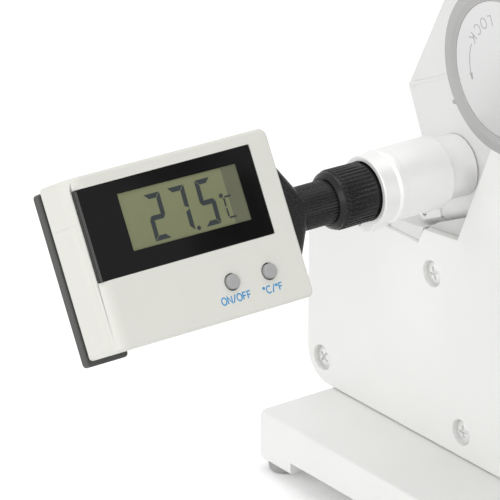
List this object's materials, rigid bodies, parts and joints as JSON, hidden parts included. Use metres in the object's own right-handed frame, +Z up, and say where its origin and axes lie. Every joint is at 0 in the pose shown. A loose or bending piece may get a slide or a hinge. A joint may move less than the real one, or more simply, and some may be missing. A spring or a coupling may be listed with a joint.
{
  "type": "abbe refractometer",
  "caption": "Bench refractometer with a hinged prism block, lock knob, scale and dispersion knobs, a tilted eyepiece and a clip-on digital thermometer.",
  "frame": {"origin": "middle of the whole object's footprint, on the surface that it stands on", "axes": "+X towards the eyepiece and the reader, +Y away from the side with the lock knob and the thermometer, +Z up"},
  "size_m": [0.2148, 0.1908, 0.2319],
  "materials": {
    "white_paint": "satin",
    "satin_metal": "satin",
    "bright_steel": "brushed",
    "brass": "satin",
    "black_metal": "black anodised",
    "black_plastic": "matte",
    "knob_rim": "satin",
    "knob_disc": "satin",
    "rubber": "matte",
    "white_plastic": "satin",
    "grey_plastic": "satin",
    "gloss_black": "gloss",
    "display": "satin",
    "board": "satin",
    "optical_glass": "polished",
    "frosted_glass": "frosted",
    "mirror": "polished"
  },
  "bodies": {
    "stand": {"base_plate": "white_paint", "rubber_foot_1": "rubber", "rubber_foot_2": "rubber", "rubber_foot_3": "rubber", "rubber_foot_4": "rubber", "base_bolt_1": "bright_steel", "base_bolt_2": "bright_steel", "body_frame": "white_paint", "side_cover": "white_paint", "cover_screw_1": "bright_steel", "cover_screw_2": "bright_steel", "cover_screw_3": "bright_steel", "cover_screw_4": "bright_steel", "cover_screw_5": "bright_steel", "scale_window": "frosted_glass", "lower_prism_housing": "satin_metal", "refracting_prism": "optical_glass", "hinge_pin": "bright_steel", "block_bolt_1": "bright_steel", "lower_water_nozzles": "brass", "telescope_barrel": "white_paint", "eyepiece_barrel": "black_metal", "objective_lens": "optical_glass", "thermometer_socket": "satin_metal"},
    "upper_housing": {"upper_prism_housing": "satin_metal", "lighting_prism": "optical_glass", "upper_water_nozzles": "brass"},
    "shield": {"light_shield": "black_metal"},
    "reflector": {"reflector_frame": "satin_metal", "reflector_mirror": "mirror"},
    "lock": {"lock_knob_rim": "knob_rim", "lock_knob_disc": "knob_disc", "lock_shaft": "bright_steel"},
    "scale_drive": {"scale_knob": "black_plastic", "scale_shaft": "bright_steel"},
    "scale_mirror": {"mirror_sector": "brass", "swing_mirror": "mirror", "scale_glass": "optical_glass"},
    "dispersion_drive": {"dispersion_knob": "black_plastic", "dispersion_pinion": "bright_steel"},
    "lower_cell": {"compensator_cell_lower": "brass", "amici_prism_lower": "optical_glass"},
    "upper_cell": {"compensator_cell_upper": "brass", "amici_prism_upper": "optical_glass"},
    "focus": {"focus_ring": "black_metal"},
    "ocular": {"ocular_tube": "black_metal", "eye_lens": "optical_glass", "eyecup": "rubber"},
    "nut": {"clamp_nut": "black_plastic"},
    "thermometer": {"thermometer_stem": "black_plastic", "probe_rod": "bright_steel", "thermometer_case": "white_plastic", "case_back": "black_plastic", "battery_door": "white_plastic", "display_frame": "gloss_black", "lcd_panel": "display", "circuit_board": "board", "battery": "bright_steel"},
    "on_off": {"on_off_button": "grey_plastic"},
    "unit": {"unit_button": "grey_plastic"}
  },
  "joints": [
    {"name": "prism_hinge", "type": "hinge", "parent": "stand", "child": "upper_housing", "pos_m": [-0.07268, 0.04537, 0.10976], "axis": [0, -1, 0], "range_deg": [0, 105]},
    {"name": "shield_hinge", "type": "hinge", "parent": "upper_housing", "child": "shield", "pos_m": [-0.05482, 0.04537, 0.14823], "axis": [0, 1, 0], "range_deg": [0, 100]},
    {"name": "reflector_tilt", "type": "hinge", "parent": "stand", "child": "reflector", "pos_m": [-0.06308, 0.04537, 0.07809], "axis": [0, -1, 0], "range_deg": [0, 65]},
    {"name": "lock_turn", "type": "hinge", "parent": "stand", "child": "lock", "pos_m": [-0.00975, 0.04537, 0.13711], "axis": [0, -1, 0], "range_deg": [0, 75]},
    {"name": "scale_knob_turn", "type": "hinge", "parent": "stand", "child": "scale_drive", "pos_m": [0.0106, 0.04537, 0.062], "axis": [0, -1, 0], "range_deg": [-76, 76]},
    {"name": "scale_mirror_swing", "type": "hinge", "parent": "stand", "child": "scale_mirror", "pos_m": [-0.0109, 0.04537, 0.0395], "axis": [0, -1, 0], "range_deg": [-10, 10]},
    {"name": "dispersion_knob_turn", "type": "hinge", "parent": "stand", "child": "dispersion_drive", "pos_m": [0.05561, 0.04537, 0.15719], "axis": [0, -1, 0], "continuous": true},
    {"name": "lower_cell_turn", "type": "hinge", "parent": "stand", "child": "lower_cell", "pos_m": [0.05561, 0.04537, 0.15719], "axis": [0.5, 0, 0.866], "continuous": true},
    {"name": "upper_cell_turn", "type": "hinge", "parent": "stand", "child": "upper_cell", "pos_m": [0.05561, 0.04537, 0.15719], "axis": [0.5, 0, 0.866], "continuous": true},
    {"name": "focus_ring_turn", "type": "hinge", "parent": "stand", "child": "focus", "pos_m": [0.05561, 0.04537, 0.15719], "axis": [0.5, 0, 0.866], "range_deg": [0, 300]},
    {"name": "ocular_slide", "type": "slide", "parent": "stand", "child": "ocular", "axis": [0.5, 0, 0.866], "range_m": [0, 0.00397]},
    {"name": "clamp_nut_turn", "type": "hinge", "parent": "stand", "child": "nut", "pos_m": [-0.04889, 0.02003, 0.09571], "axis": [0, -1, 0], "range_deg": [-180, 180]},
    {"name": "thermometer_swivel", "type": "hinge", "parent": "stand", "child": "thermometer", "pos_m": [-0.04889, 0.02003, 0.09571], "axis": [0, -1, 0], "range_deg": [-120, 120]},
    {"name": "on_off_press", "type": "slide", "parent": "thermometer", "child": "on_off", "axis": [-0.8763, 0, -0.4818], "range_m": [0, 0.0007], "stiffness_N_per_m": 300},
    {"name": "unit_press", "type": "slide", "parent": "thermometer", "child": "unit", "axis": [-0.8763, 0, -0.4818], "range_m": [0, 0.0007], "stiffness_N_per_m": 300}
  ],
  "couplings": [
    {"joint": "scale_mirror_swing", "follows": "scale_knob_turn", "ratio": -0.13082},
    {"joint": "lower_cell_turn", "follows": "dispersion_knob_turn", "ratio": 0.41667},
    {"joint": "upper_cell_turn", "follows": "dispersion_knob_turn", "ratio": -0.41667},
    {"joint": "focus_ring_turn", "follows": "ocular_slide", "rad_per_m": 1315.8}
  ]
}
